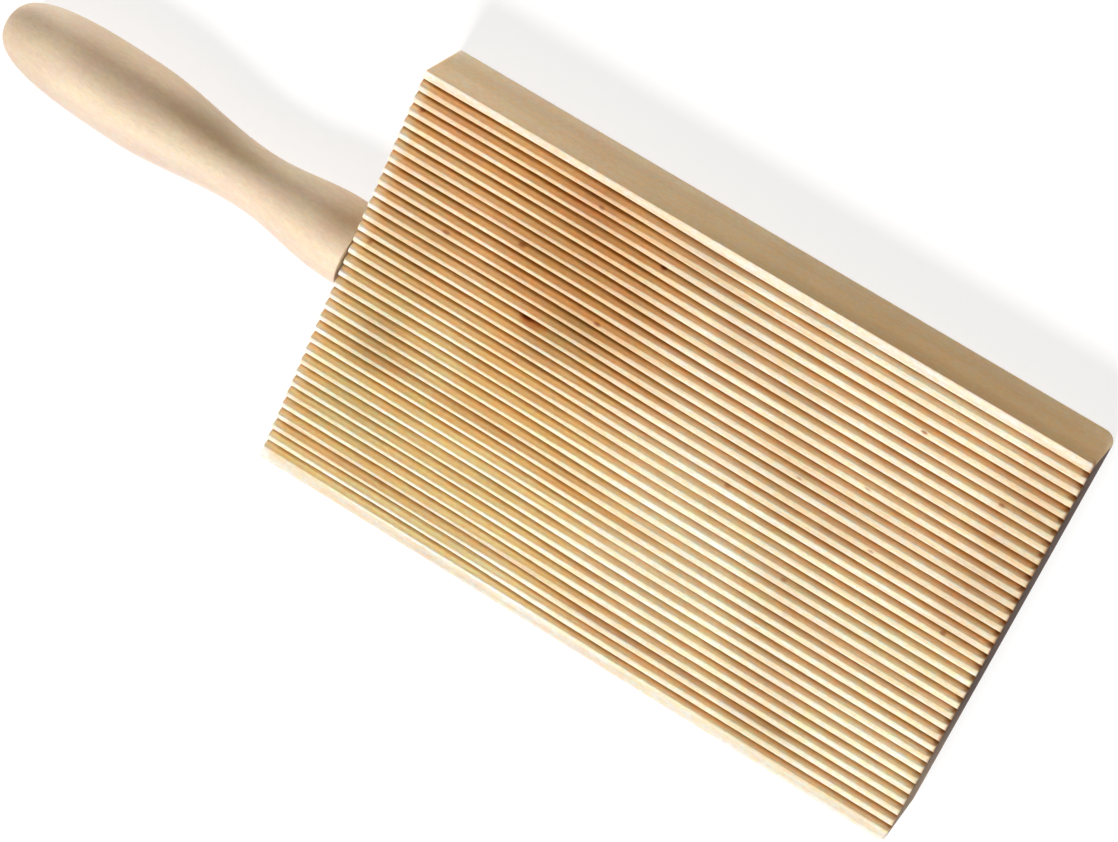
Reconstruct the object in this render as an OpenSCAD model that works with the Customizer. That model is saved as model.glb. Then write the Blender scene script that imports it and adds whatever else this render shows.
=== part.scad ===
// Board for rolling gnocchi, with ridges on its upper face and a turned handle, all of beech.
// Sizes are in millimetres. The origin is the middle of the board's flat underside.
// X runs along the ridges to the free end, Y runs across them, and Z points up to the ridges.
// The handle leaves the board's end at -X, on a dowel that is glued into both pieces.

/* [Board] */
// Length of the board along the ridges
board_l = 200; // [150:1:260]
// Width of the board across the ridges
board_w = 126; // [90:0.5:180]
// Thickness of the board, from the underside to the tops of the ridges
board_t = 22; // [16:0.5:30]
// Radius of the four upright corners
corner_r = 1.5; // [0.5:0.1:4]
// Bevel along the four long edges
edge_bevel = 0.5; // [0.2:0.1:1.5]

/* [Ridges] */
// Distance from the middle of one ridge to the middle of the next
ridge_pitch = 3.68; // [3:0.01:5]
// Depth of the grooves below the tops of the ridges
groove_depth = 1.9; // [1:0.1:2.6]
// Angle between the two flanks of a groove, in degrees
groove_angle = 60; // [50:1:80]
// Width of the flat floor of a groove
groove_floor = 0.15; // [0.1:0.05:0.4]
// Radius of the rounding between a flank and the top of a ridge
shoulder_r = 0.22; // [0.1:0.02:0.4]
// Distance from the board's far edge to the middle of the first groove
far_margin = 3.6; // [3:0.05:8]
// Least distance from the middle of the last groove to the board's near edge
near_margin_min = 3; // [3:0.1:8]

/* [Handle] */
// Length of the handle, from its rim to its tip
handle_l = 117; // [100:0.2:150]
// Radius of the rim that faces the board
rim_r = 11.7; // [9:0.1:18]
// Bevel on the rim
rim_bevel = 0.4; // [0.2:0.1:1.5]
// Length of the even collar behind the rim
collar_l = 5.5; // [2:0.5:15]
// Radius of the neck
neck_r = 8.7; // [7.5:0.1:14]
// Distance from the rim to the neck
neck_x = 33.9; // [25:0.1:50]
// Radius of the swell
swell_r = 12.5; // [9:0.1:18]
// Distance from the rim to the swell
swell_x = 74.6; // [60:0.1:90]
// Fullness of the rounded tip, where 2 is half an ellipse and more is blunter
tip_fullness = 3; // [2:0.1:4]

/* [Joint] */
// Sideways lean of the handle, in degrees
handle_lean = 2.4; // [0:0.1:5]
// Distance of the joint from the middle of the board's width
handle_offset = 2.3; // [-20:0.1:20]
// Least gap between the rim and the end of the board
rim_clearance = 0.05; // [0.02:0.01:0.5]
// Diameter of the dowel
dowel_d = 10; // [6:0.5:12]
// Length of the dowel
dowel_l = 60; // [40:1:80]
// Bevel on the dowel's ends
dowel_bevel = 1; // [0.5:0.1:1.5]
// Number of glue flutes along the dowel
flute_count = 16; // [8:1:20]
// Depth of a flute
flute_depth = 0.3; // [0.1:0.05:0.5]
// Radius of a flute
flute_r = 0.5; // [0.4:0.05:0.7]
// Room for glue between the dowel and the wall of its bores
glue_gap = 0.1; // [0.05:0.05:0.3]
// Room for glue past each end of the dowel
end_room = 0.8; // [0.5:0.1:3]

/* [Hidden] */

// Straight steps round a ridge's shoulder, and along each stretch of the handle's outline
shoulder_steps = 3;
neck_steps = 16;
swell_steps = 24;
tip_steps = 20;
// How far a cutting shape runs past the surface that it cuts
past = 1;

ridge_count = floor((board_w - far_margin - near_margin_min) / ridge_pitch);
near_margin = board_w - far_margin - ridge_count * ridge_pitch;
// Steepness of a flank above the level, and how far a shoulder's rounding reaches across the top
flank_slope = 90 - groove_angle / 2;
shoulder_reach = shoulder_r * tan(flank_slope / 2);
// The grooves stop short of the depth at which no flat top would be left between them
deepest = ((ridge_pitch - groove_floor) / 2 - shoulder_reach - 0.1) * tan(flank_slope);
cut_depth = min(groove_depth, deepest);
groove_reach = groove_floor / 2 + cut_depth / tan(flank_slope);

bore_d = dowel_d + 2 * glue_gap;
bore_reach = dowel_l / 2 + end_room;
// Gap at the handle's axis, at which the leaning rim just clears the end of the board
rim_gap = (rim_r * sin(handle_lean) + rim_clearance) / cos(handle_lean);

board_wood = [0.86, 0.70, 0.50];
handle_wood = [0.93, 0.83, 0.70];
dowel_wood = [0.88, 0.74, 0.56];

// Point of a superellipse at an angle, from its half width, half height and fullness
function rounded(angle, half_w, half_h, fullness) = [
    half_w * sign(cos(angle)) * pow(abs(cos(angle)), 2 / fullness),
    half_h * pow(abs(sin(angle)), 2 / fullness)
];

// Smooth rise from 0 to 1
function swell(t) = (1 - cos(180 * t)) / 2;

// Rounding beside a groove, on its +Y side for 1 and its -Y side for -1, with the turn going
// from one angle off the upright to the other
function shoulder(groove, side, from, to) = [
    for (i = [0:shoulder_steps])
        let (turn = from + (to - from) * i / shoulder_steps)
        [
            groove + side * (groove_reach + shoulder_reach - shoulder_r * sin(turn)),
            board_t - shoulder_r * (1 - cos(turn))
        ]
];

// Top outline across one groove, from its +Y shoulder to its -Y shoulder
function groove_outline(groove) = concat(
    shoulder(groove, 1, 0, flank_slope),
    [[groove + groove_floor / 2, board_t - cut_depth], [groove - groove_floor / 2, board_t - cut_depth]],
    shoulder(groove, -1, flank_slope, 0)
);

// Smooth stretch of the handle's outline between two radii
function turned(x1, r1, x2, r2, steps) = [
    for (i = [1:steps])
        [r1 + (r2 - r1) * swell(i / steps), x1 + (x2 - x1) * i / steps]
];

// Outline of the board across the ridges, with Y and Z as its axes
module board_section() {
    half_w = board_w / 2;
    polygon(concat(
        [
            [-half_w, edge_bevel], [-half_w + edge_bevel, 0],
            [half_w - edge_bevel, 0], [half_w, edge_bevel],
            [half_w, board_t - edge_bevel], [half_w - edge_bevel, board_t]
        ],
        [
            for (i = [0:ridge_count])
                each groove_outline(half_w - far_margin - i * ridge_pitch)
        ],
        [[-half_w + edge_bevel, board_t], [-half_w, board_t - edge_bevel]]
    ));
}

// What rounding takes off an upright corner that points to +X and +Y
module corner_waste() {
    difference() {
        translate([0, 0, -past]) cube([corner_r + past, corner_r + past, board_t + 2 * past]);
        translate([0, 0, -2 * past]) cylinder(r = corner_r, h = board_t + 4 * past, $fn = 48);
    }
}

// Puts its children in the middle of the joint, with their Z along the handle's axis to the tip
module at_joint() {
    translate([-board_l / 2, handle_offset, board_t / 2])
        rotate([0, 0, -handle_lean])
            rotate([0, -90, 0])
                children();
}

module ridged_board() {
    color(board_wood) difference() {
        translate([-board_l / 2, 0, 0])
            rotate([90, 0, 90])
                linear_extrude(height = board_l)
                    board_section();
        for (turn = [0:3]) {
            across = turn % 2 == 0 ? [board_l, board_w] : [board_w, board_l];
            rotate([0, 0, 90 * turn])
                translate([across.x / 2 - corner_r, across.y / 2 - corner_r, 0])
                    corner_waste();
        }
        at_joint()
            translate([0, 0, rim_gap / 2 - bore_reach])
                cylinder(d = bore_d, h = bore_reach + past, $fn = 64);
    }
}

module turned_handle() {
    outline = concat(
        [[0, 0], [rim_r - rim_bevel, 0], [rim_r, rim_bevel], [rim_r, collar_l]],
        turned(collar_l, rim_r, neck_x, neck_r, neck_steps),
        turned(neck_x, neck_r, swell_x, swell_r, swell_steps),
        [
            for (i = [1:tip_steps])
                let (p = rounded(90 * i / tip_steps, swell_r, handle_l - swell_x, tip_fullness))
                i < tip_steps ? [p.x, swell_x + p.y] : [0, handle_l]
        ]
    );
    color(handle_wood) at_joint() difference() {
        translate([0, 0, rim_gap]) rotate_extrude($fn = 96) polygon(outline);
        translate([0, 0, rim_gap - past])
            cylinder(d = bore_d, h = bore_reach - rim_gap / 2 + past, $fn = 64);
    }
}

module fluted_dowel() {
    dowel_r = dowel_d / 2;
    outline = [
        [0, 0], [dowel_r - dowel_bevel, 0], [dowel_r, dowel_bevel],
        [dowel_r, dowel_l - dowel_bevel], [dowel_r - dowel_bevel, dowel_l], [0, dowel_l]
    ];
    color(dowel_wood) at_joint() translate([0, 0, (rim_gap - dowel_l) / 2]) difference() {
        rotate_extrude($fn = 64) polygon(outline);
        for (i = [0:flute_count - 1])
            rotate([0, 0, 360 * i / flute_count])
                translate([dowel_r + flute_r - flute_depth, 0, -past])
                    cylinder(r = flute_r, h = dowel_l + 2 * past, $fn = 24);
    }
}

ridged_board();
turned_handle();
fluted_dowel();
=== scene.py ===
"""Looks of a beech gnocchi board with a turned handle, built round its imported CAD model.

Lengths named here are in millimetres in the model's own frame: X along the ridges to the free end,
Y across them to the far edge, Z up, with the origin in the middle of the board's underside.
"""
import math
from types import SimpleNamespace

import bpy
import numpy as np
from mathutils import Matrix, Vector


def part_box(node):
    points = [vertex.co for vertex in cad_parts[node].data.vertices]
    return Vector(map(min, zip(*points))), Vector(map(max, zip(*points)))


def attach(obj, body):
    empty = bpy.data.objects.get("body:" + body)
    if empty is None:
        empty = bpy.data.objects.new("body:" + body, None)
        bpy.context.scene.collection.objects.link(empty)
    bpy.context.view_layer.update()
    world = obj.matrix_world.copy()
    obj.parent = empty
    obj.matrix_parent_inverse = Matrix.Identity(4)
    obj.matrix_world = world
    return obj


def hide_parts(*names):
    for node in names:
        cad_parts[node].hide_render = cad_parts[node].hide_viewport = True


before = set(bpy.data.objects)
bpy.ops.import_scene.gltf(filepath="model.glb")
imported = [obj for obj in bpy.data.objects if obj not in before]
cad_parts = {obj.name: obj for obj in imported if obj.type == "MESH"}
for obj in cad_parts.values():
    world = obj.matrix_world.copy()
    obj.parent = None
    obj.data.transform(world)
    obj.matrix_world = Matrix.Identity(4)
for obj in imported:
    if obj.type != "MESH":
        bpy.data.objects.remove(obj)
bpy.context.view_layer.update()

MM = 0.001

# Ridges, as the board's source has them
RIDGE_PITCH = 3.68
GROOVE_SLOPE = math.radians(60)
GROOVE_FLOOR = 0.15
FAR_MARGIN = 3.6
NEAR_MARGIN_MIN = 3.0
SHOULDER_RADIUS = 0.22

# Handle and its joint, as the handle's source has them
HANDLE_LENGTH = 117.0
RIM_RADIUS = 11.7
RIM_BEVEL = 0.4
COLLAR_LENGTH = 5.5
NECK_RADIUS, NECK_AT = 8.7, 33.9
SWELL_RADIUS, SWELL_AT = 12.5, 74.6
TIP_FULLNESS = 3.0
HANDLE_LEAN = math.radians(2.4)
HANDLE_OFFSET = 2.3
RIM_CLEARANCE = 0.05
BORE_RADIUS = 5.1
BORE_REACH = 30.8

board_low, board_high = (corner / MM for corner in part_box("ridged_board"))
BOARD_LENGTH = board_high.x - board_low.x
BOARD_WIDTH = board_high.y - board_low.y
BOARD_THICKNESS = board_high.z - board_low.z
RIDGE_COUNT = math.floor((BOARD_WIDTH - FAR_MARGIN - NEAR_MARGIN_MIN) / RIDGE_PITCH)
FIRST_GROOVE = BOARD_WIDTH / 2 - FAR_MARGIN
RIM_GAP = (RIM_RADIUS * math.sin(HANDLE_LEAN) + RIM_CLEARANCE) / math.cos(HANDLE_LEAN)

# How the cutter ran: deeper towards the handle, and a little sideways. Each is a start value and
# steps of (amount, from X, to X).
DEPTH_RUN = (1.68, ((0.67, 0, -45), (-0.33, -60, -100)))
WANDER_RUN = (-0.13, ((0.33, 12, -45), (-0.09, -60, -100), (0.10, 55, 100)))
CUTTER_MARK_SPACING = 1.1

# Wear: how far a ridge's top falls towards its shoulders, and the rounds of the board's long edges
# and of the lower edges of its ends
RIDGE_CROWN = 0.04
EDGE_ROUND = 0.3
LOWER_END_ROUND = 0.4
# Wear that differs between the ends: the upright corners' radius at the top and at the foot, the
# round of a ridge's end seen from above, and its round seen from the side, drawn at random
# between two values
CORNER_RADIUS = {"handle end": (0.8, 0.8), "free end": (1.5, 3.4)}
PLAN_ROUND = {"handle end": 0.25, "free end": 0.6}
TIP_ROUND = {"handle end": (0.35, 0.95), "free end": (0.60, 1.30)}
TIP_SEED = 7
# A corner's round draws in what lies within this many radii of the long edge, where a radius
# counts as this at least
CORNER_REACH, CORNER_LEAST = 1.6, 1.5

# Sections along the board: distances from either end, then an even run between them
END_SECTIONS = (0, 0.05, 0.15, 0.3, 0.5, 0.75, 1.05, 1.5, 2.1, 2.8)
EVEN_FROM, EVEN_COUNT = 4, 97
# Points of a section along each part of its outline, with both ends of that part
SHOULDER_POINTS, FLANK_POINTS = 4, 4
LAND_POINTS, MARGIN_LAND_POINTS = 6, 5
ROUND_POINTS, WALL_POINTS = 5, 9
# Points of the handle's outline along each stretch, and steps round its axis
BEVEL_POINTS, COLLAR_POINTS = 5, 6
NECK_POINTS, SWELL_POINTS, HANDLE_TIP_POINTS = 33, 49, 61
HANDLE_TURNS = 160
# An edge is sharp where its faces meet at more than this
SHARP_ANGLE = math.radians(40)

# Screen colours of the ridges' flanks and crests: left near, left far, right near, right far. The
# flanks' deeper orange is painted warm shade; the crests' paler colour is partly wear and partly a
# painted highlight.
SHADED_FLANKS = (255, 230, 181), (250, 216, 167), (250, 226, 190), (250, 223, 186)
LIT_CRESTS = (248, 238, 204), (246, 224, 190), (245, 236, 206), (245, 234, 204)
# Painted shade at the bottom of the grooves, as what the wood is multiplied by there: left near,
# left far, right
GROOVE_SHADE_TINTS = (0.60, 0.49, 0.38), (0.42, 0.29, 0.17), (0.58, 0.42, 0.27)
# The flat margins: far right, far left, near
MARGINS = (247, 238, 217), (243, 229, 204), (239, 231, 211)
# Painted highlight at the handle's end, near white: in the grooves, on the ridges
END_HIGHLIGHTS = (255, 232, 196), (255, 250, 236)
# The sides: far at the handle's end, far at the free end, near, underside
SIDES = (225, 204, 171), (199, 169, 130), (205, 174, 134), (212, 182, 142)
# The ends: handle's end, free end, free end at its near corner. The free end's dark brown is
# painted shade, less dark at its near corner.
ENDS = (172, 138, 104), (70, 46, 32), (134, 114, 94)
# Tints of the far side: its band, a painted bounce light at its foot, and low and high towards the
# free end
BAND_TINT, PAINTED_BOUNCE_TINT = (0.91, 0.90, 0.83), (1.22, 1.34, 1.50)
LOW_TINT, HIGH_TINT = (1.01, 1.08, 1.10), (0.77, 0.80, 0.74)
# Tints that the board's wood varies between: by ridge, by crest and by small patches, and two
# that come in larger patches
RIDGE_TINTS = (0.99, 0.96, 0.91), (1.01, 1.03, 1.08)
CREST_TINTS = (0.97, 0.93, 0.91), (1.02, 1.05, 1.10)
PATCH_TINTS = (1.03, 0.96, 0.86), (0.97, 1.03, 1.13)
RED_TINT, OLIVE_TINT = (1.03, 0.96, 0.94), (0.98, 1.02, 0.93)
# What the handle's wood varies between, by small and by larger patches
HANDLE_PATCH_TINTS = (1.01, 0.98, 0.94), (0.99, 1.01, 1.06)
HANDLE_RED_TINTS = (1.0, 0.965, 0.96), (1.0, 1.02, 0.96)
# Ground of the turned handle and of the dowel, each between two colours
HANDLE_GROUND = (238, 218, 192), (237, 220, 195)
DOWEL_GROUND = (226, 196, 156), (240, 216, 180)

# Borders of the upper face's parts, each from where a part starts to where it is full: in X its
# left half, the painted highlight at the handle's end and the painted shade of the grooves at the
# free end, in Y its far half and its two flat margins
LEFT_BORDER, FAR_BORDER = (8.0, -30.0), (-14.0, 22.0)
END_HIGHLIGHT_BORDER, END_SHADE_BORDER = (-95.6, -98.8), (97.6, 99.7)
FAR_MARGIN_BORDER, NEAR_MARGIN_BORDER = (60.3, 61.1), (-59.8, -60.8)
# Painted shade in the grooves at the free end
END_SHADE_TINT = (0.50, 0.38, 0.28)
# How far below its top the moulded face's wood goes
FACE_DEPTH = 3.2
# Oval in which the painted shade at the grooves' bottoms is lighter: middle in X and Y, half
# length, half width
LIGHTER_SHADE_OVAL = (14, -22, 30, 34)

# Large tones of the upper face, each an oval: middle in X and Y, half length, half width, turn in
# degrees, and what red, green and blue are multiplied by
TONES = (
    (-36, 38, 35, 22, -35, (0.88, 0.85, 0.78)),
    (-42, 54, 10, 7, 0, (0.94, 0.87, 0.89)),
    (-84, 54, 13, 7, 0, (0.96, 0.92, 0.95)),
    (-36, 14, 15, 9, 0, (0.87, 0.90, 0.90)),
    (-8, 53, 26, 8, -20, (0.88, 0.87, 0.86)),
    (6, 38, 9, 9, 0, (0.94, 0.93, 0.92)),
    (-86, 5, 13, 34, 0, (0.90, 0.95, 0.97)),
    (-66, -2, 10, 33, 0, (1.00, 1.07, 1.17)),
    (-80, -14, 11, 9, 0, (0.91, 0.87, 0.84)),
    (-84, -37, 17, 14, 0, (0.93, 1.02, 1.09)),
    (20, -16, 34, 32, 0, (1.02, 1.09, 1.16)),
    (32, -40, 18, 9, 0, (1.05, 1.06, 1.03)),
    (-6, -21, 24, 4, 0, (0.97, 0.89, 0.77)),
    (-40, -39, 34, 16, 0, (1.05, 1.13, 1.26)),
    (-44, -57, 52, 6, 0, (1.03, 1.13, 1.32)),
    (38, 0, 12, 70, 18, (0.95, 0.93, 0.90)),
    (45, 58.5, 46, 4, 0, (1.02, 1.12, 1.24)),
    (92, 34, 15, 26, 0, (0.88, 0.84, 0.79)),
    (90, 5, 12, 8, 0, (0.93, 0.90, 0.87)),
    (52, 8, 9, 6, 0, (0.94, 0.92, 0.90)),
    (86, -41, 22, 13, 0, (1.04, 1.09, 1.12)),
    (78, -11, 26, 7, 0, (1.01, 1.07, 1.08)),
    (60, -54, 13, 7, 0, (0.92, 0.92, 0.88)),
    (-46.0, 15.4, 4.5, 1.7, 0, (0.88, 0.62, 0.47)),
)

# Dark streaks along the grain: from X, to X, Y, width and depth of tone
STREAKS = (
    (-104, -8, -17.0, 0.9, 0.30),
    (38, 104, -21.5, 0.9, 0.25),
    (-104, -8, -49.5, 1.0, 0.30),
    (-12, 68, -52.0, 1.6, 0.30),
    (-100, 90, 36.0, 0.8, 0.15),
)
STREAK_TINT = (0.52, 0.28, 0.20)
STREAK_FADE = 8.0

# Flecks where a pore or a pin knot was cut: X, Y, half length, half width, depth of tone
FLECKS = (
    (-48.3, 15.4, 2.4, 0.8, 0.85),
    (-97.0, 51.8, 1.1, 0.6, 0.8),
    (-57.3, 33.2, 1.3, 0.5, 0.6),
    (-77.2, 25.3, 1.2, 0.5, 0.5),
    (-30.0, 25.0, 1.2, 0.5, 0.7),
    (-20.8, 48.3, 1.2, 0.6, 0.9),
    (-21.7, 1.1, 1.2, 0.5, 0.8),
    (-42.0, 54.5, 1.0, 0.5, 0.5),
    (-95.5, 11.0, 0.9, 0.5, 0.5),
    (58.6, 46.6, 1.1, 0.5, 0.8),
    (84.6, 39.9, 1.1, 0.5, 0.6),
    (35.6, 17.0, 1.0, 0.4, 0.5),
    (52.6, 24.5, 1.0, 0.4, 0.5),
    (19.6, 3.7, 1.0, 0.4, 0.5),
    (60.9, 9.5, 1.0, 0.4, 0.5),
    (87.2, -0.3, 1.0, 0.5, 0.6),
    (44.2, -11.3, 1.0, 0.4, 0.5),
)
FLECK_TINT = (0.40, 0.12, 0.08)

# Painted light and shade on the handle, each an ellipsoid: middle, half lengths, and the same
# multipliers. They darken its upper far side where its core shadow lies, most at the neck, and its
# lit near side and the top of its tip, and lighten the far side of its tip. X lies along the
# handle's own axis here.
HANDLE_PAINTED_SHADING = (
    ((-150.0, 6.0, 16.5), (25.0, 5.0, 5.5), (0.79, 0.73, 0.65)),
    ((-178.0, 6.0, 20.4), (24.0, 5.8, 6.0), (0.83, 0.81, 0.79)),
    ((-118.0, 4.5, 19.0), (20.0, 5.0, 5.0), (0.90, 0.87, 0.86)),
    ((-104.0, 5.5, 18.0), (9.0, 6.0, 6.0), (0.90, 0.84, 0.76)),
    ((-212.0, 4.5, 18.5), (13.0, 5.0, 5.0), (0.88, 0.87, 0.86)),
    ((-153.0, 8.3, 11.0), (13.0, 7.0, 9.0), (0.85, 0.86, 0.87)),
    ((-132.0, 9.0, 12.0), (28.0, 8.0, 9.0), (0.93, 0.98, 1.00)),
    ((-216.0, -7.0, 16.0), (27.0, 13.0, 16.0), (0.82, 0.80, 0.79)),
    ((-212.0, 12.0, 13.0), (22.0, 8.0, 12.0), (1.06, 1.12, 1.24)),
    ((-158.0, -12.0, 19.0), (105.0, 9.0, 9.0), (0.76, 0.75, 0.85)),
    ((-158.0, -16.0, 3.0), (105.0, 10.0, 13.0), (0.76, 0.73, 0.71)),
)

# Camera, solved from the board's edges and ridge lines in the photograph
CAMERA_AT = Vector((158.28, 463.25, 882.01))
CAMERA_AIM = Vector((-28.06, -5.16, 22.0))
CAMERA_ROLL = math.radians(-129.817)
CAMERA_LENS, CAMERA_SENSOR = 121.74, 36
# Nearest and farthest that it sees, in metres
CAMERA_CLIP = 0.01, 20

# Lamps: strength at which white gives 1, softness in degrees, direction from the object, colour
LAMPS = {
    "key": (1.12, 16, (0.0, -0.64, 0.77), (1, 1, 1)),
    "fill": (0.27, 30, (-0.70, 0.55, 0.45), (1, 0.93, 0.87)),
}
ROOM_COLOUR, ROOM_LIGHT = (1, 0.76, 0.54, 1), 0.12

# Floor, half its side in metres. As it lights the object and as it is seen, it has a colour of
# its own and a glow, given as its colour and strength.
FLOOR_HALF_SIZE = 3.0
FLOOR_COLOUR, FLOOR_GLOW = (0.90, 0.87, 0.83, 1), ((1, 0.92, 0.85, 1), 0.35)
SEEN_COLOUR, SEEN_GLOW = (0.24, 0.24, 0.24, 1), ((1, 1, 1, 1), 0.80)


def run_value(run, x):
    """Value of a cutter run at X."""
    value, steps = run
    for amount, start, end in steps:
        t = min(max((x - start) / (end - start), 0), 1)
        value += amount * t * t * (3 - 2 * t)
    return value


def rounding(radius, distance):
    """How far a round of this radius has drawn back a surface, at a distance from its end."""
    rest = max(radius - distance, 0)
    return radius - math.sqrt(radius**2 - rest**2)


def quarter_turn(points):
    """Angles from 0 to a right angle."""
    return np.linspace(0, math.pi / 2, points)


def joint_matrix():
    """Middle of the joint, with Z along the handle's axis towards its tip."""
    place = Matrix.Translation((board_low.x, HANDLE_OFFSET, BOARD_THICKNESS / 2))
    lean = Matrix.Rotation(-HANDLE_LEAN, 4, "Z")
    lay = Matrix.Rotation(-math.pi / 2, 4, "Y")
    return place @ lean @ lay


def new_mesh_object(name, points, faces):
    """A smooth mesh object from points in millimetres, with its sharp edges kept."""
    mesh = bpy.data.meshes.new(name)
    mesh.from_pydata((np.asarray(points) * MM).tolist(), [], faces)
    mesh.validate()
    mesh.update()
    mesh.shade_smooth()
    mesh.set_sharp_from_angle(angle=SHARP_ANGLE)
    thing = bpy.data.objects.new(name, mesh)
    bpy.context.scene.collection.objects.link(thing)
    return thing


def shoulder(edge, side):
    """Rounded shoulder of a ridge whose unrounded corner is at an edge; side is +1 towards +Y."""
    angles = np.linspace(GROOVE_SLOPE, 0, SHOULDER_POINTS)
    middle = edge - side * SHOULDER_RADIUS * math.tan(GROOVE_SLOPE / 2)
    y = middle + side * SHOULDER_RADIUS * np.sin(angles)
    z = BOARD_THICKNESS - SHOULDER_RADIUS * (1 - np.cos(angles))
    return np.column_stack([y, z])


def groove_reach(depth):
    """From a groove's middle to where its flank would meet the top."""
    return GROOVE_FLOOR / 2 + depth / math.tan(GROOVE_SLOPE)


def ridge_points(start, end, depth, narrower):
    """A ridge from one groove's middle to the next, going towards -Y."""
    reach = groove_reach(depth) + narrower
    floor_z = BOARD_THICKNESS - depth
    one, two = shoulder(start - reach, 1), shoulder(end + reach, -1)[::-1]
    land = np.linspace(one[-1], two[0], LAND_POINTS)[1:-1]
    flank_1 = np.linspace((start - GROOVE_FLOOR / 2, floor_z), one[0], FLANK_POINTS)[:-1]
    flank_2 = np.linspace(two[-1], (end + GROOVE_FLOOR / 2, floor_z), FLANK_POINTS)[1:]
    points = np.vstack([flank_1, one, land, two, flank_2])
    middle, half = (start + end) / 2, max((start - end) / 2 - reach, 0.1)
    across = np.clip(np.abs(points[:, 0] - middle) / half, 0, 1)
    on_top = points[:, 1] > BOARD_THICKNESS - SHOULDER_RADIUS
    points[on_top, 1] -= RIDGE_CROWN * across[on_top] ** 2
    return points


def margin_points(side, groove, depth):
    """Far (+1) or near (-1) margin with its rounded edge, from the side's foot to the groove."""
    half = BOARD_WIDTH / 2
    foot = [(half - EDGE_ROUND * (1 - math.sin(a)), EDGE_ROUND * (1 - math.cos(a)))
            for a in quarter_turn(ROUND_POINTS)]
    top = [(half - EDGE_ROUND * (1 - math.cos(a)), BOARD_THICKNESS - EDGE_ROUND * (1 - math.sin(a)))
           for a in quarter_turn(ROUND_POINTS)]
    heights = np.linspace(EDGE_ROUND, BOARD_THICKNESS - EDGE_ROUND, WALL_POINTS)[1:-1]
    points = np.array([*foot, *[(half, z) for z in heights], *top])
    points[:, 0] *= side
    corner = shoulder(groove + side * groove_reach(depth), -side)[::-1]
    land = np.linspace(points[-1], corner[0], MARGIN_LAND_POINTS)[1:-1]
    floor = (groove + side * GROOVE_FLOOR / 2, BOARD_THICKNESS - depth)
    flank = np.linspace(corner[-1], floor, FLANK_POINTS)[1:]
    return np.vstack([points, land, corner, flank])


def board_groups(x, narrower):
    """Points across the board at X, in groups that start and end at a groove."""
    depth, wander = run_value(DEPTH_RUN, x), run_value(WANDER_RUN, x)
    grooves = [FIRST_GROOVE - i * RIDGE_PITCH + wander for i in range(RIDGE_COUNT + 1)]
    groups = [margin_points(1, grooves[0], depth)]
    groups += [ridge_points(a, b, depth, narrower) for a, b in zip(grooves, grooves[1:])]
    groups.append(margin_points(-1, grooves[-1], depth)[::-1])
    return groups


def draw_in_corners(ring, end, from_end):
    """Moves the points near both long edges in Y, by the rounds of the upright corners."""
    at_top, at_foot = CORNER_RADIUS[end]
    radii = at_foot + (at_top - at_foot) * ring[:, 1] / BOARD_THICKNESS
    drawn = np.array([rounding(radius, from_end) for radius in radii])
    reach = CORNER_REACH * np.maximum(radii, CORNER_LEAST)
    outer = np.clip((np.abs(ring[:, 0]) - (BOARD_WIDTH / 2 - reach)) / reach, 0, 1)
    ring[:, 0] -= np.sign(ring[:, 0]) * outer * drawn


def board_ring(s, tips):
    """Points round the board at a distance from the handle's end, and the sizes of its groups."""
    x = board_low.x + s
    from_end = min(s, BOARD_LENGTH - s)
    end = "handle end" if x < 0 else "free end"
    lowest = rounding(LOWER_END_ROUND, from_end)
    groups = board_groups(x, rounding(PLAN_ROUND[end], from_end))
    for group, tip in zip(groups, tips[end]):
        group[:, 1] = np.minimum(group[:, 1], BOARD_THICKNESS - rounding(tip, from_end))
        group[:, 1] = np.maximum(group[:, 1], lowest)
    lower = np.array([(group[0, 0], lowest) for group in reversed(groups[1:])])
    ring = np.vstack([*groups, lower])
    draw_in_corners(ring, end, from_end)
    return np.column_stack([np.full(len(ring), x), ring]), [len(group) for group in groups]


def build_board():
    """The board as one skin: sections along X, closed by strips at both ends."""
    chance = np.random.default_rng(TIP_SEED)
    tips = {end: chance.uniform(*limits, RIDGE_COUNT + 2) for end, limits in TIP_ROUND.items()}
    stations = [
        *END_SECTIONS,
        *np.linspace(EVEN_FROM, BOARD_LENGTH - EVEN_FROM, EVEN_COUNT),
        *[BOARD_LENGTH - d for d in reversed(END_SECTIONS)],
    ]
    rings, sizes = [], None
    for s in stations:
        ring, sizes = board_ring(s, tips)
        rings.append(ring)
    count = len(rings[0])
    faces = []
    for j in range(len(rings) - 1):
        for i in range(count):
            a, b = j * count + i, j * count + (i + 1) % count
            faces.append((a, b, b + count, a + count))
    # Each end is closed group by group, down to the lower points between the groups
    last = (len(rings) - 1) * count
    upper_count = sum(sizes)
    start = 0
    for k, size in enumerate(sizes):
        strip = list(range(start, start + size))
        if k < len(sizes) - 1:
            strip.append(start + size)
            strip.append(upper_count + len(sizes) - 2 - k)
        if k > 0:
            strip.append(upper_count + len(sizes) - 1 - k)
        start += size
        faces.append(strip[::-1])
        faces.append([last + i for i in strip])
    return new_mesh_object("board_with_ridges", np.vstack(rings), faces)


def stretch(from_radius, from_along, to_radius, to_along, points):
    """Smooth stretch of the handle's outline, without its first point."""
    steps = np.linspace(0, 1, points)[1:]
    wave = (1 - np.cos(np.pi * steps)) / 2
    return np.column_stack([
        from_radius + (to_radius - from_radius) * wave,
        from_along + (to_along - from_along) * steps,
    ])


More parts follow.
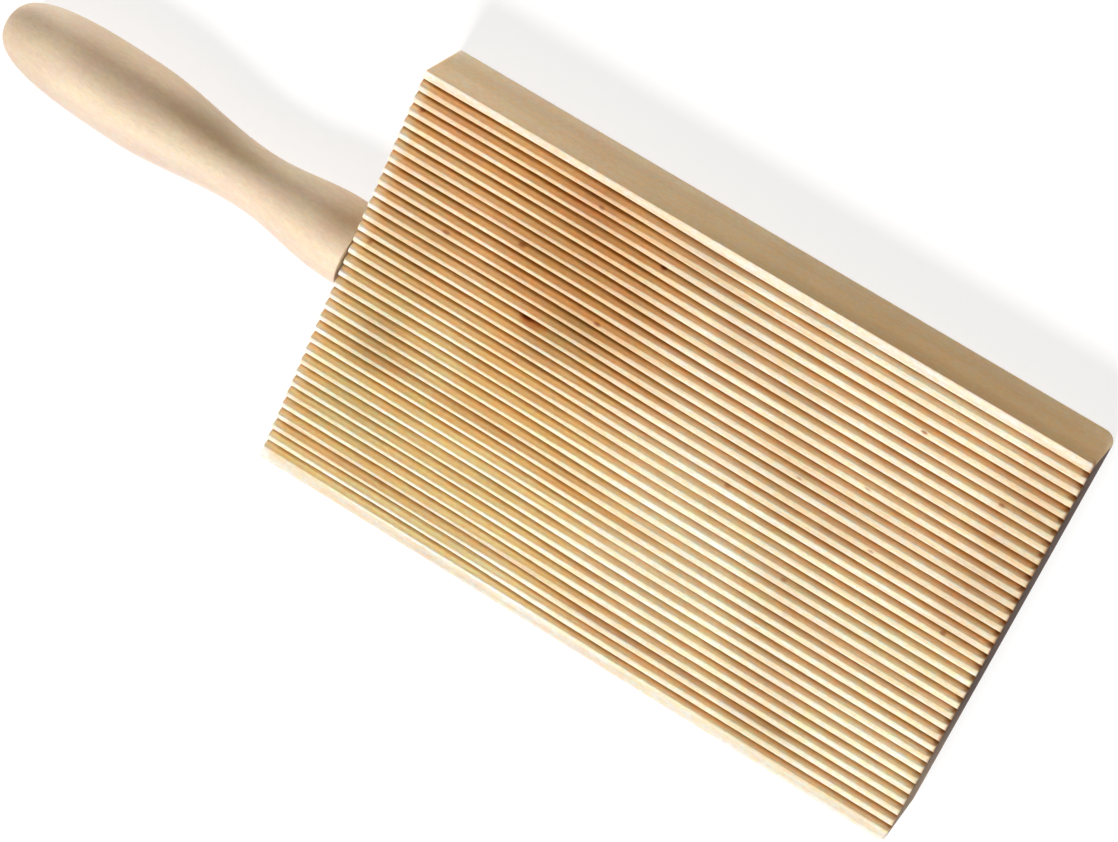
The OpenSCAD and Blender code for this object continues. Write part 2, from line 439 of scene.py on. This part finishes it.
def handle_outline():
    """Radius and distance along the axis, from the bottom of the bore round to the tip."""
    bore_end = BORE_REACH - RIM_GAP / 2
    inside = [(0, bore_end), (BORE_RADIUS, bore_end), (BORE_RADIUS, 0)]
    bevel = [(RIM_RADIUS - RIM_BEVEL * (1 - math.sin(a)), RIM_BEVEL * (1 - math.cos(a)))
             for a in quarter_turn(BEVEL_POINTS)]
    collar = [(RIM_RADIUS, z) for z in np.linspace(RIM_BEVEL, COLLAR_LENGTH, COLLAR_POINTS)[1:]]
    neck = stretch(RIM_RADIUS, COLLAR_LENGTH, NECK_RADIUS, NECK_AT, NECK_POINTS)
    swell = stretch(NECK_RADIUS, NECK_AT, SWELL_RADIUS, SWELL_AT, SWELL_POINTS)
    angles = quarter_turn(HANDLE_TIP_POINTS)[1:]
    across = SWELL_RADIUS * np.cos(angles) ** (2 / TIP_FULLNESS)
    along = SWELL_AT + (HANDLE_LENGTH - SWELL_AT) * np.sin(angles) ** (2 / TIP_FULLNESS)
    across[-1] = 0
    return np.vstack([inside, bevel, collar, neck, swell, np.column_stack([across, along])])


def build_handle():
    """The handle as its outline turned about its axis, with one point where it meets the axis."""
    place = joint_matrix() @ Matrix.Translation((0, 0, RIM_GAP))
    points, faces, rings = [], [], []
    for radius, along in handle_outline():
        if radius == 0:
            rings.append([len(points)] * HANDLE_TURNS)
            points.append(place @ Vector((0, 0, along)))
            continue
        rings.append(list(range(len(points), len(points) + HANDLE_TURNS)))
        for i in range(HANDLE_TURNS):
            a = 2 * math.pi * i / HANDLE_TURNS
            points.append(place @ Vector((radius * math.cos(a), radius * math.sin(a), along)))
    for one, two in zip(rings, rings[1:]):
        for i in range(HANDLE_TURNS):
            j = (i + 1) % HANDLE_TURNS
            face = [one[i], one[j], two[j], two[i]]
            faces.append(list(dict.fromkeys(face)))
    return new_mesh_object("handle_turned", [tuple(p) for p in points], faces)


class Graph:
    """A material's node graph, with short calls that return sockets. Lengths are in mm."""

    def __init__(self, name):
        self.material = bpy.data.materials.new(name)
        self.material.use_nodes = True
        self.nodes = self.material.node_tree.nodes
        self.links = self.material.node_tree.links
        self.nodes.clear()
        self.shader = self.nodes.new("ShaderNodeBsdfPrincipled")
        output = self.nodes.new("ShaderNodeOutputMaterial")
        self.links.new(self.shader.outputs[0], output.inputs["Surface"])
        place = self.nodes.new("ShaderNodeTexCoord").outputs
        self.at = self.vector("SCALE", place["Object"], scale=1 / MM)
        self.facing = place["Normal"]
        self.x, self.y, self.z = self.parts(self.at)

    def wire(self, socket, value):
        """Links a socket to another socket, or sets its value."""
        if isinstance(value, bpy.types.NodeSocket):
            self.links.new(value, socket)
        elif isinstance(value, tuple) and len(value) == 3 and len(socket.default_value) == 4:
            socket.default_value = (*value, 1)
        else:
            socket.default_value = value

    def wire_all(self, node, **values):
        """The same for sockets by name, with _ for a space."""
        for name, value in values.items():
            self.wire(node.inputs[name.replace("_", " ")], value)

    def math(self, operation, *values, clamp=False):
        node = self.nodes.new("ShaderNodeMath")
        node.operation, node.use_clamp = operation, clamp
        for socket, value in zip(node.inputs, values):
            self.wire(socket, value)
        return node.outputs[0]

    def vector(self, operation, *values, scale=None):
        node = self.nodes.new("ShaderNodeVectorMath")
        node.operation = operation
        for socket, value in zip(node.inputs, values):
            self.wire(socket, value)
        if scale is not None:
            self.wire(node.inputs["Scale"], scale)
        return node.outputs["Value" if operation == "LENGTH" else "Vector"]

    def parts(self, vector):
        """X, Y and Z of a vector."""
        node = self.nodes.new("ShaderNodeSeparateXYZ")
        self.wire(node.inputs[0], vector)
        return node.outputs

    def span(self, value, start, end, low=0.0, high=1.0):
        """Smooth step of a value from low at start to high at end."""
        node = self.nodes.new("ShaderNodeMapRange")
        node.interpolation_type = "SMOOTHSTEP"
        self.wire_all(node, Value=value, From_Min=start, From_Max=end, To_Min=low, To_Max=high)
        return node.outputs[0]

    def bell(self, value, middle, width):
        """1 at the middle, falling to 0 at a width to either side."""
        away = self.math("ABSOLUTE", self.math("SUBTRACT", value, middle))
        return self.span(away, width, 0.0)

    def mix(self, factor, one, two):
        """Colour from one at factor 0 to two at factor 1."""
        node = self.nodes.new("ShaderNodeMix")
        node.data_type = "RGBA"
        for index, value in ((0, factor), (6, one), (7, two)):
            self.wire(node.inputs[index], value)
        return node.outputs[2]

    def grain(self, size, detail=2.0, rough=0.5, seed=0.0, warp=0.0):
        """Noise from 0 to 1 whose features have this size along X, Y and Z."""
        node = self.nodes.new("ShaderNodeTexNoise")
        node.noise_dimensions = "4D"
        squeezed = self.vector("MULTIPLY", self.at, tuple(1 / s for s in size))
        self.wire_all(node, Vector=squeezed, W=seed, Scale=1.0)
        self.wire_all(node, Detail=detail, Roughness=rough, Distortion=warp)
        return node.outputs["Fac"]

    def oval(self, x, y, half_x, half_y, turn=0.0, wobble=None):
        """Distance from the middle of an upright oval cylinder, 1 on its wall."""
        node = self.nodes.new("ShaderNodeVectorRotate")
        node.rotation_type = "Z_AXIS"
        self.wire_all(node, Vector=self.at, Center=(x, y, 0), Angle=math.radians(-turn))
        away = self.vector("SUBTRACT", node.outputs[0], (x, y, 0.0))
        away = self.vector("LENGTH", self.vector("MULTIPLY", away, (1 / half_x, 1 / half_y, 0.0)))
        return away if wobble is None else self.math("ADD", away, wobble)

    def run(self, run):
        """A cutter run at this point's X."""
        total, steps = run
        for amount, start, end in steps:
            total = self.math("ADD", total, self.span(self.x, start, end, 0.0, amount))
        return total

    def signed(self, noise, amount):
        """Noise from 0 to 1 as a change of up to an amount either way."""
        return self.math("MULTIPLY", self.math("SUBTRACT", noise, 0.5), 2 * amount)

    def stray(self, value, amount, size, **noise):
        """A value that strays by up to an amount either way, over features of this size."""
        return self.math("ADD", value, self.signed(self.grain(size, **noise), amount))

    def lighten(self, colour, change):
        """A colour times one plus a change."""
        return self.vector("SCALE", colour, scale=self.math("ADD", 1.0, change))

    def tint(self, colour, factor, tint):
        """A colour that is multiplied by a tint where the factor is 1."""
        return self.mix(factor, colour, self.vector("MULTIPLY", colour, tint))

    def two_tints(self, colour, factor, one, two):
        """A colour times one tint where the factor is 0, and times another where it is 1."""
        tinted = [self.vector("MULTIPLY", colour, tint) for tint in (one, two)]
        return self.mix(factor, *tinted)

    def soften(self, amount, reach, scale):
        """Light that enters the wood and comes out beside where it entered."""
        self.wire(self.shader.inputs["Subsurface Weight"], amount)
        self.wire(self.shader.inputs["Subsurface Radius"], reach)
        self.wire(self.shader.inputs["Subsurface Scale"], scale * MM)

    def finish(self, colour, roughness, bumps, depth):
        """Wires up the shader, with bumps of a depth in mm at half strength."""
        bump = self.nodes.new("ShaderNodeBump")
        self.wire_all(bump, Height=bumps, Distance=depth * MM, Strength=0.5)
        self.wire_all(self.shader, Base_Color=colour, Roughness=roughness, Normal=bump.outputs[0])
        return self.material


def srgb(red, green, blue):
    """Linear colour of an 8-bit screen colour."""
    return tuple(
        c / 12.92 if c <= 0.04045 else ((c + 0.055) / 1.055) ** 2.4
        for c in (red / 255, green / 255, blue / 255)
    )


def board_places(g):
    """Measures of where a point is on the board, which the parts of its material share."""
    _, facing_y, facing_z = g.parts(g.facing)
    # Height above the local groove floor, from 0 to 1 at the tops of the ridges
    below = g.math("SUBTRACT", BOARD_THICKNESS, g.z)
    height = g.math("SUBTRACT", 1.0, g.math("DIVIDE", below, g.run(DEPTH_RUN)), clamp=True)
    # Left and far halves, each with a soft border
    slanted_x = g.math("ADD", g.x, g.math("MULTIPLY", g.y, 0.12))
    to_left = g.span(slanted_x, *LEFT_BORDER)
    to_far = g.span(g.stray(g.y, 22, (60, 14, 14), seed=3), *FAR_BORDER)
    # Pale tops of the ridges, partly wear and partly a painted highlight on what faces up. On the
    # left, less of a ridge is pale, and least of all its slopes, which keep the painted shade of
    # the flanks.
    near_left = g.math("MULTIPLY", to_left, g.math("SUBTRACT", 1.0, to_far))
    worn_and_lit_height = g.stray(height, 0.09, (2.4, 0.7, 0.7), seed=27)
    pale_from = g.math("ADD", 0.45, g.math("MULTIPLY", to_left, 0.38))
    pale_from = g.math("SUBTRACT", pale_from, g.math("MULTIPLY", near_left, 0.13))
    painted_slope_shade = g.math("SUBTRACT", to_left, g.math("MULTIPLY", near_left, 0.45))
    painted_slope_shade = g.math("MULTIPLY", g.span(facing_z, 0.98, 0.70), painted_slope_shade)
    tops = g.math("SUBTRACT", g.span(worn_and_lit_height, pale_from, 0.99), painted_slope_shade, clamp=True)
    # The moulded face, as against the sides, ends and underside
    half_width, deepest = BOARD_WIDTH / 2, BOARD_THICKNESS - FACE_DEPTH
    within = g.span(g.math("ABSOLUTE", g.y), half_width - 0.05, half_width - 0.25)
    above = g.span(g.z, deepest, deepest + 0.2)
    return SimpleNamespace(
        facing_y=facing_y, facing_z=facing_z, height=height, to_left=to_left, to_far=to_far,
        tops=tops, on_top=g.math("MULTIPLY", within, above),
        wobble=g.signed(g.grain((34, 9, 9), detail=3, seed=20), 0.5),
    )


def by_quarter(g, at, colours):
    """Colour from left near, left far, right near and right far."""
    left_near, left_far, right_near, right_far = (srgb(*colour) for colour in colours)
    left = g.mix(at.to_far, left_near, left_far)
    right = g.mix(at.to_far, right_near, right_far)
    return g.mix(at.to_left, right, left)


def moulded_ground(g, at):
    """The upper face's flanks, crests, large tones and flat margins."""
    # Crests get a painted highlight and flanks a painted warm shade
    ground = g.mix(at.tops, by_quarter(g, at, SHADED_FLANKS), by_quarter(g, at, LIT_CRESTS))
    for *oval, tint in TONES:
        ground = g.tint(ground, g.span(g.oval(*oval, at.wobble), 1.3, 0.3), tint)
    far_right, far_left, near = (srgb(*colour) for colour in MARGINS)
    far_cream = g.mix(at.to_left, far_right, far_left)
    ground = g.mix(g.span(g.y, *FAR_MARGIN_BORDER), ground, far_cream)
    return g.mix(g.span(g.y, *NEAR_MARGIN_BORDER), ground, near)


def paint_groove_shade(g, at, wood):
    """Painted shade at the bottom of the grooves, most at the far left."""
    left_near, left_far, right = GROOVE_SHADE_TINTS
    bottom = g.mix(at.to_left, right, g.mix(at.to_far, left_near, left_far))
    foot_top = g.math("ADD", 0.80, g.math("MULTIPLY", at.to_left, -0.30))
    foot_full = g.math("ADD", 0.04, g.math("MULTIPLY", at.to_left, 0.12))
    foot = g.span(g.stray(at.height, 0.10, (9, 2, 2), seed=21), foot_top, foot_full)
    uneven = g.span(g.grain((24, 2.0, 2.0), seed=28), 0.35, 0.65, 0.75, 1.12)
    lighter_shade_oval = g.span(g.oval(*LIGHTER_SHADE_OVAL, wobble=at.wobble), 0.4, 1.2, 0.55, 1.0)
    # Less painted shade on the flanks that face the key lamp
    lit_flank_share = g.span(at.facing_y, -0.6, 0.2, 0.35, 1.0)
    for share in (uneven, lighter_shade_oval, lit_flank_share):
        foot = g.math("MULTIPLY", foot, share)
    return g.tint(wood, foot, bottom)


def mark_face(g, wood):
    """Dark streaks and flecks of the upper face."""
    for start, end, y, width, amount in STREAKS:
        fade_in = g.span(g.x, start, start + STREAK_FADE)
        fade_out = g.span(g.x, end, end - STREAK_FADE)
        across = g.bell(g.stray(g.y, 0.8, (60, 40, 40), seed=22), y, width)
        inside = g.math("MULTIPLY", g.math("MULTIPLY", fade_in, fade_out), across)
        inside = g.math("MULTIPLY", inside, g.grain((16, 1, 1), seed=23), clamp=True)
        inside = g.math("MULTIPLY", inside, 2 * amount, clamp=True)
        wood = g.tint(wood, inside, STREAK_TINT)
    for *oval, amount in FLECKS:
        wood = g.tint(wood, g.span(g.oval(*oval), 1.3, 0.3, 0.0, amount), FLECK_TINT)
    return wood


def work_ridge_ends(g, at, wood):
    """Painted highlight that makes the ridge ends pale at the handle's end, and painted shade in
    the grooves at the free end.
    """
    in_groove, on_ridge = (srgb(*colour) for colour in END_HIGHLIGHTS)
    # Painted highlight on the ridge ends at the handle's end
    end_highlight = g.span(g.stray(g.x, 2.2, (2.5, 1.1, 1.1), seed=24), *END_HIGHLIGHT_BORDER)
    end_highlight = g.math("MULTIPLY", end_highlight, g.span(at.height, 0.1, 0.5, 0.45, 1.0))
    pale = g.mix(g.span(at.height, 0.5, 0.9), in_groove, on_ridge)
    wood = g.mix(g.math("MULTIPLY", end_highlight, 0.85), wood, pale)

    # Painted shade in the grooves at the free end
    end_shade = g.span(g.stray(g.x, 1.6, (2.0, 1.0, 1.0), seed=29), *END_SHADE_BORDER)
    end_shade = g.math("MULTIPLY", end_shade, g.span(at.height, 1.0, 0.6))
    end_shade = g.math("MULTIPLY", end_shade, g.span(g.y, -48.0, -24.0, 0.35, 1.0))
    return g.tint(wood, end_shade, END_SHADE_TINT)


def side_wood(g, at):
    """The far side with its band and a painted bounce light at its foot, the near side and the
    underside.
    """
    far_left, far_right, near, underside = (srgb(*colour) for colour in SIDES)
    side = g.mix(g.span(g.x, -106.0, 60.0), far_left, far_right)
    band = g.bell(g.stray(g.z, 8, (50, 9, 9), seed=25), 13.0, 5.5)
    side = g.tint(side, g.math("MULTIPLY", band, 0.6), BAND_TINT)
    # Painted bounce light at the foot of the far side
    painted_bounce_light = g.mix(g.span(g.z, 9.0, 0.0), (1.0, 1.0, 1.0), PAINTED_BOUNCE_TINT)
    side = g.vector("MULTIPLY", side, painted_bounce_light)
    low_right = g.math("MULTIPLY", g.span(g.z, 17.0, 12.0), g.span(g.x, -60.0, 20.0))
    side = g.tint(side, low_right, LOW_TINT)
    high_right = g.math("MULTIPLY", g.span(g.z, 13.5, 20.0), g.span(g.x, -80.0, 20.0))
    side = g.tint(side, high_right, HIGH_TINT)
    side = g.mix(g.span(g.y, 0.0, 30.0), near, side)
    return g.mix(g.span(at.facing_z, -0.4, -0.8), side, underside)


def vary_wood(g, at, wood, streak, fibre):
    """Growth lines and mottle everywhere, then tints by ridge, by crest and by small patches."""
    mottle = g.grain((13, 7, 7), seed=5)
    lines = g.math("MULTIPLY", g.signed(streak, 0.17), g.span(at.on_top, 0.0, 1.0, 0.45, 1.0))
    change = g.math("ADD", g.signed(fibre, 0.07), g.signed(mottle, 0.07))
    wood = g.lighten(wood, g.math("ADD", lines, change))

    by_ridge = g.span(g.grain((70, 2.0, 9), seed=33), 0.36, 0.64)
    wood = g.tint(wood, at.on_top, g.mix(by_ridge, *RIDGE_TINTS))
    by_crest = g.span(g.grain((60, 1.8, 9), seed=34), 0.38, 0.62)
    on_crests = g.math("MULTIPLY", at.on_top, at.tops)
    wood = g.tint(wood, on_crests, g.mix(by_crest, *CREST_TINTS))

    speck = g.grain((1.5, 0.5, 0.5), seed=30)
    wood = g.lighten(wood, g.signed(speck, 0.19))
    tinge = g.span(g.grain((2.6, 0.8, 0.8), seed=31), 0.35, 0.65)
    wood = g.two_tints(wood, tinge, *PATCH_TINTS)
    blush = g.grain((9, 2.2, 2.2), detail=3, rough=0.6, seed=26)
    wood = g.tint(wood, g.span(blush, 0.50, 0.72), RED_TINT)
    return g.tint(wood, g.span(blush, 0.50, 0.30), OLIVE_TINT)


def end_grain(g):
    """The ends' wood. The free end is darkened as painted shade, less towards the near corner."""
    handle_end, free_end, near_corner = (srgb(*colour) for colour in ENDS)
    # Painted shade on the free end
    shaded_free_end = g.mix(g.span(g.y, -16.0, -52.0), free_end, near_corner)
    wood = g.mix(g.span(g.x, -1.0, 1.0), handle_end, shaded_free_end)
    wood = g.lighten(wood, g.signed(g.grain((3, 1.2, 6), seed=4), 0.25))
    pores = g.grain((2.0, 0.22, 0.22), detail=3, rough=0.7, seed=9)
    return g.lighten(wood, g.signed(pores, 0.3))


def board_material():
    g = Graph("beech_moulded")
    at = board_places(g)
    moulded = moulded_ground(g, at)
    # Painted shade at the bottom of the grooves
    moulded = paint_groove_shade(g, at, moulded)
    moulded = mark_face(g, moulded)
    # Painted highlight at the handle's end and painted shade at the free end
    moulded = work_ridge_ends(g, at, moulded)
    wood = g.mix(at.on_top, side_wood(g, at), moulded)

    streak = g.grain((170, 1.9, 2.4), detail=3, seed=1, warp=0.3)
    fibre = g.grain((11, 0.24, 0.24), detail=4, rough=0.6, seed=2)
    wood = vary_wood(g, at, wood, streak, fibre)
    half_length = BOARD_LENGTH / 2
    at_end = g.span(g.math("ABSOLUTE", g.x), half_length - 0.06, half_length - 0.01)
    wood = g.mix(at_end, wood, end_grain(g))

    g.shader.inputs["Specular IOR Level"].default_value = 0.1
    g.soften(amount=0.45, reach=(1.0, 0.4, 0.2), scale=0.85)
    roughness = g.math("ADD", 0.62, g.signed(fibre, 0.12))
    # Cutter marks across the ridges, over the grain
    marks = g.math("SINE", g.math("MULTIPLY", g.x, 2 * math.pi / CUTTER_MARK_SPACING))
    ripples = g.math("ADD", g.math("MULTIPLY", marks, 0.15), g.math("ADD", fibre, streak))
    return g.finish(wood, roughness, bumps=ripples, depth=0.06)


def handle_material():
    g = Graph("beech_turned")
    # The grain and the tones run along the leaning handle
    along = g.nodes.new("ShaderNodeVectorRotate")
    along.rotation_type = "Z_AXIS"
    g.wire_all(along, Vector=g.at, Angle=HANDLE_LEAN)
    g.at = along.outputs[0]
    one, two = (srgb(*colour) for colour in HANDLE_GROUND)
    ground = g.mix(g.grain((40, 9, 9), seed=11), one, two)
    streak = g.grain((90, 1.6, 1.6), detail=3, seed=12, warp=0.4)
    fibre = g.grain((7, 0.2, 0.2), detail=4, rough=0.6, seed=13)
    mottle = g.grain((2.6, 1.0, 1.0), detail=3, rough=0.6, seed=14)
    change = g.math("ADD", g.signed(fibre, 0.05), g.signed(mottle, 0.12))
    wood = g.lighten(ground, g.math("ADD", g.signed(streak, 0.05), change))

    speck = g.grain((1.3, 0.45, 0.45), detail=3, rough=0.6, seed=16)
    wood = g.lighten(wood, g.signed(speck, 0.12))
    tinge = g.span(g.grain((2.2, 0.9, 0.9), seed=17), 0.35, 0.65)
    wood = g.two_tints(wood, tinge, *HANDLE_PATCH_TINTS)
    blush = g.span(g.grain((8, 3, 3), detail=3, rough=0.6, seed=15), 0.38, 0.62)
    wood = g.two_tints(wood, blush, *HANDLE_RED_TINTS)
    # Painted light and shade on the handle, by where light falls on it
    for place, halves, tint in HANDLE_PAINTED_SHADING:
        away = g.vector("SUBTRACT", g.at, place)
        away = g.vector("LENGTH", g.vector("MULTIPLY", away, tuple(1 / h for h in halves)))
        wood = g.tint(wood, g.span(away, 1.3, 0.2), tint)

    g.shader.inputs["Specular IOR Level"].default_value = 0.3
    g.soften(amount=0.3, reach=(1.0, 0.5, 0.3), scale=1.2)
    roughness = g.math("ADD", 0.55, g.signed(fibre, 0.1))
    return g.finish(wood, roughness, bumps=g.math("ADD", fibre, mottle), depth=0.04)


def dowel_material():
    g = Graph("beech_fluted")
    streak = g.grain((40, 1.2, 1.2), detail=3, seed=41, warp=0.4)
    fibre = g.grain((5, 0.2, 0.2), detail=4, rough=0.6, seed=42)
    one, two = (srgb(*colour) for colour in DOWEL_GROUND)
    wood = g.lighten(g.mix(streak, one, two), g.signed(fibre, 0.08))
    roughness = g.math("ADD", 0.6, g.signed(fibre, 0.1))
    return g.finish(wood, roughness, bumps=fibre, depth=0.03)


def new_tree(owner):
    """Emptied node tree of a material or world."""
    owner.use_nodes = True
    owner.node_tree.nodes.clear()
    return owner.node_tree


def new_node(tree, kind, **values):
    """Output of a new node, with values for its sockets by name."""
    node = tree.nodes.new(kind)
    for name, value in values.items():
        node.inputs[name].default_value = value
    return node.outputs[0]


def combine(tree, kind, *sources):
    """Output of a new node whose inputs are linked to these, in order."""
    node = tree.nodes.new(kind)
    for socket, source in zip(node.inputs, sources):
        tree.links.new(source, socket)
    return node.outputs[0]


def show_or_light(tree, output_kind, light, show):
    """Surface that shows one shader to the camera, mirrors and glass, and lights with another."""
    path = tree.nodes.new("ShaderNodeLightPath").outputs
    on_show = path["Is Camera Ray"]
    for name in ("Is Glossy Ray", "Is Transmission Ray"):
        on_show = combine(tree, "ShaderNodeMath", on_show, path[name])
        on_show.node.operation = "MAXIMUM"
    mixed = combine(tree, "ShaderNodeMixShader", on_show, light, show)
    tree.links.new(mixed, tree.nodes.new(output_kind).inputs["Surface"])


def glowing(tree, colour, glow):
    """A matt surface with a glow on top, given as its colour and strength."""
    matt = new_node(tree, "ShaderNodeBsdfDiffuse", Color=colour)
    glow_colour, strength = glow
    shine = new_node(tree, "ShaderNodeEmission", Color=glow_colour, Strength=strength)
    return combine(tree, "ShaderNodeAddShader", matt, shine)


def build_stage():
    """A pale floor under the two places the object rests on: the swell and the free end's foot."""
    mesh = bpy.data.meshes.new("floor")
    size = FLOOR_HALF_SIZE
    corners = [(-size, -size, 0), (size, -size, 0), (size, size, 0), (-size, size, 0)]
    mesh.from_pydata(corners, [], [(0, 1, 2, 3)])
    floor = bpy.data.objects.new("floor", mesh)
    bpy.context.scene.collection.objects.link(floor)
    drop = SWELL_RADIUS - BOARD_THICKNESS / 2
    swell_x = board_low.x - (RIM_GAP + SWELL_AT) * math.cos(HANDLE_LEAN)
    tilt = math.atan2(drop, board_high.x - swell_x)
    floor.matrix_world = (
        Matrix.Translation((board_high.x * MM, 0, 0)) @ Matrix.Rotation(-tilt, 4, "Y")
    )
    material = bpy.data.materials.new("pale_floor")
    tree = new_tree(material)
    light = glowing(tree, FLOOR_COLOUR, FLOOR_GLOW)
    show = glowing(tree, SEEN_COLOUR, SEEN_GLOW)
    show_or_light(tree, "ShaderNodeOutputMaterial", light, show)
    mesh.materials.append(material)


def build_lights():
    """Two distant soft lamps, a dim warm room, and pale light where the room is seen."""
    world = bpy.data.worlds.new("room")
    bpy.context.scene.world = world
    tree = new_tree(world)
    light = new_node(tree, "ShaderNodeBackground", Color=ROOM_COLOUR, Strength=ROOM_LIGHT)
    show = new_node(tree, "ShaderNodeBackground", Strength=1.0)
    show_or_light(tree, "ShaderNodeOutputWorld", light, show)
    for name, (strength, softness, direction, colour) in LAMPS.items():
        data = bpy.data.lights.new(name, "SUN")
        data.energy = strength * math.pi
        data.angle = math.radians(softness)
        data.color = colour
        lamp = bpy.data.objects.new(name, data)
        bpy.context.scene.collection.objects.link(lamp)
        lamp.rotation_euler = Vector(direction).to_track_quat("Z", "Y").to_euler()


def build_camera():
    data = bpy.data.cameras.new("camera")
    data.lens, data.sensor_width = CAMERA_LENS, CAMERA_SENSOR
    data.clip_start, data.clip_end = CAMERA_CLIP
    camera = bpy.data.objects.new("camera", data)
    bpy.context.scene.collection.objects.link(camera)
    look = (CAMERA_AIM - CAMERA_AT).to_track_quat("-Z", "Y").to_matrix().to_4x4()
    camera.matrix_world = (
        Matrix.Translation(CAMERA_AT * MM) @ look @ Matrix.Rotation(CAMERA_ROLL, 4, "Z")
    )
    bpy.context.scene.camera = camera


build_camera()
board = build_board()
board.data.materials.append(board_material())
handle = build_handle()
handle.data.materials.append(handle_material())
for piece, node, slot in (
    (board, "ridged_board", "board_beech"),
    (handle, "turned_handle", "handle_beech"),
):
    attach(piece, "root")
    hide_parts(node)
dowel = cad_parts["fluted_dowel"]
dowel.data.materials.clear()
dowel.data.materials.append(dowel_material())
build_stage()
build_lights()

scene = bpy.context.scene
scene.view_settings.view_transform = "Standard"
